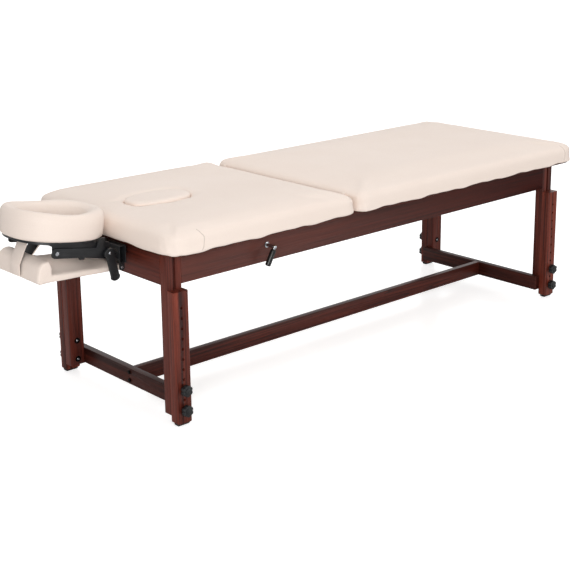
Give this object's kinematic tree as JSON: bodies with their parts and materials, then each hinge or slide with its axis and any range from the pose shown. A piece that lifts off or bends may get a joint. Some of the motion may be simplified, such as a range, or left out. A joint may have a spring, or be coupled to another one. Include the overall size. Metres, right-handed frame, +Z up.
{
  "type": "stationary massage table",
  "caption": "Stationary massage table with a dark wooden frame on telescoping legs, cream padded sections with a lifting back, a breath hole, a face rest and a hanging arm shelf",
  "frame": {"origin": "Centre of the whole object's footprint on the floor, legs at their shortest and back down", "axes": "+X from the head end to the foot end, +Y from the near long side to the far one, +Z up"},
  "size_m": [2.202, 0.762, 0.6503],
  "materials": {
    "dark_wood": "satin lacquer",
    "inner_wood": "plain plywood",
    "upholstery": "soft matt",
    "steel": "zinc plated",
    "chrome": "polished",
    "black_metal": "satin powder coat",
    "foot_rubber": "matt",
    "black_plastic": "moulded satin"
  },
  "bodies": {
    "frame": {"near_apron": "dark_wood", "far_apron": "dark_wood", "head_apron": "dark_wood", "foot_apron": "dark_wood", "head_near_post": "dark_wood", "head_far_post": "dark_wood", "foot_near_post": "dark_wood", "foot_far_post": "dark_wood", "head_crossbar": "dark_wood", "foot_crossbar": "dark_wood", "stretcher": "dark_wood", "stretcher_bolts": "steel", "post_nuts": "steel", "back_rail": "inner_wood", "seat_rail": "inner_wood", "foot_rail": "inner_wood", "foot_board": "inner_wood", "foot_cushion": "upholstery", "fixed_hinge_plates": "steel", "hinge_pins": "steel", "spring_bracket": "steel", "shaft_block": "black_plastic", "rod_sockets": "black_metal"},
    "head_near_leg_body": {"head_near_leg": "dark_wood", "head_near_pad": "foot_rubber"},
    "head_near_upper_knob_body": {"head_near_upper_knob": "black_plastic"},
    "head_near_lower_knob_body": {"head_near_lower_knob": "black_plastic"},
    "head_far_leg_body": {"head_far_leg": "dark_wood", "head_far_pad": "foot_rubber"},
    "head_far_upper_knob_body": {"head_far_upper_knob": "black_plastic"},
    "head_far_lower_knob_body": {"head_far_lower_knob": "black_plastic"},
    "foot_near_leg_body": {"foot_near_leg": "dark_wood", "foot_near_pad": "foot_rubber"},
    "foot_near_upper_knob_body": {"foot_near_upper_knob": "black_plastic"},
    "foot_near_lower_knob_body": {"foot_near_lower_knob": "black_plastic"},
    "foot_far_leg_body": {"foot_far_leg": "dark_wood", "foot_far_pad": "foot_rubber"},
    "foot_far_upper_knob_body": {"foot_far_upper_knob": "black_plastic"},
    "foot_far_lower_knob_body": {"foot_far_lower_knob": "black_plastic"},
    "back": {"back_board": "inner_wood", "back_cushion": "upholstery", "moving_hinge_plates": "steel", "spring_clevis": "steel"},
    "plug": {"breath_plug": "upholstery"},
    "spring_tube_body": {"spring_tube": "black_metal"},
    "spring_rod_body": {"spring_rod": "steel"},
    "release": {"release_shaft": "chrome", "release_grip": "black_plastic"},
    "carriage": {"face_carriage": "black_metal", "side_arms": "black_metal", "face_rods": "steel", "rod_collars": "black_metal", "pivot_rivets": "chrome", "shelf_bar": "steel"},
    "face_rest": {"face_platform": "black_metal", "face_cushion": "upholstery"},
    "lever": {"clamp_lever": "black_metal"},
    "shelf": {"arm_shelf": "upholstery", "shelf_strap": "upholstery"}
  },
  "joints": [
    {"name": "head_near_height", "type": "slide", "parent": "frame", "child": "head_near_leg_body", "axis": [0, 0, -1], "range_m": [0, 0.1905]},
    {"name": "head_near_upper_knob_out", "type": "slide", "parent": "frame", "child": "head_near_upper_knob_body", "axis": [0, -1, 0], "range_m": [0, 0.075]},
    {"name": "head_near_lower_knob_out", "type": "slide", "parent": "frame", "child": "head_near_lower_knob_body", "axis": [0, -1, 0], "range_m": [0, 0.075]},
    {"name": "head_far_height", "type": "slide", "parent": "frame", "child": "head_far_leg_body", "axis": [0, 0, -1], "range_m": [0, 0.1905]},
    {"name": "head_far_upper_knob_out", "type": "slide", "parent": "frame", "child": "head_far_upper_knob_body", "axis": [0, 1, 0], "range_m": [0, 0.075]},
    {"name": "head_far_lower_knob_out", "type": "slide", "parent": "frame", "child": "head_far_lower_knob_body", "axis": [0, 1, 0], "range_m": [0, 0.075]},
    {"name": "foot_near_height", "type": "slide", "parent": "frame", "child": "foot_near_leg_body", "axis": [0, 0, -1], "range_m": [0, 0.1905]},
    {"name": "foot_near_upper_knob_out", "type": "slide", "parent": "frame", "child": "foot_near_upper_knob_body", "axis": [0, -1, 0], "range_m": [0, 0.075]},
    {"name": "foot_near_lower_knob_out", "type": "slide", "parent": "frame", "child": "foot_near_lower_knob_body", "axis": [0, -1, 0], "range_m": [0, 0.075]},
    {"name": "foot_far_height", "type": "slide", "parent": "frame", "child": "foot_far_leg_body", "axis": [0, 0, -1], "range_m": [0, 0.1905]},
    {"name": "foot_far_upper_knob_out", "type": "slide", "parent": "frame", "child": "foot_far_upper_knob_body", "axis": [0, 1, 0], "range_m": [0, 0.075]},
    {"name": "foot_far_lower_knob_out", "type": "slide", "parent": "frame", "child": "foot_far_lower_knob_body", "axis": [0, 1, 0], "range_m": [0, 0.075]},
    {"name": "back_lift", "type": "hinge", "parent": "frame", "child": "back", "pos_m": [-0.069, 0, 0.59], "axis": [0, 1, 0], "range_deg": [0, 50]},
    {"name": "spring_swing", "type": "hinge", "parent": "frame", "child": "spring_tube_body", "pos_m": [-0.13329, 0, 0.36917], "axis": [0, 1, 0], "range_deg": [0, 25]},
    {"name": "spring_stroke", "type": "slide", "parent": "spring_tube_body", "child": "spring_rod_body", "axis": [-0.7226, 0, 0.6913], "range_m": [0, 0.15255]},
    {"name": "plug_out", "type": "slide", "parent": "back", "child": "plug", "axis": [0, 0, 1], "range_m": [0, 0.12]},
    {"name": "release_turn", "type": "hinge", "parent": "frame", "child": "release", "pos_m": [-0.392, 0, 0.4825], "axis": [0, -1, 0], "range_deg": [-35, 0]},
    {"name": "face_rest_out", "type": "slide", "parent": "frame", "child": "carriage", "axis": [-1, 0, 0], "range_m": [0, 0.1]},
    {"name": "face_rest_tilt", "type": "hinge", "parent": "carriage", "child": "face_rest", "pos_m": [-1.033, 0, 0.547], "axis": [0, -1, 0], "range_deg": [0, 12]},
    {"name": "clamp_lever_turn", "type": "hinge", "parent": "face_rest", "child": "lever", "pos_m": [-0.863, 0, 0.518], "axis": [0, 1, 0], "range_deg": [0, 90]},
    {"name": "shelf_swing", "type": "hinge", "parent": "carriage", "child": "shelf", "pos_m": [-0.813, 0, 0.461], "axis": [0, -1, 0], "range_deg": [0, 1.6]}
  ],
  "couplings": [
    {"joint": "spring_swing", "follows": "back_lift", "ratio": 0.5},
    {"joint": "spring_stroke", "follows": "back_lift", "m_per_rad": 0.1748},
    {"joint": "shelf_swing", "follows": "face_rest_tilt", "ratio": 0.13}
  ]
}
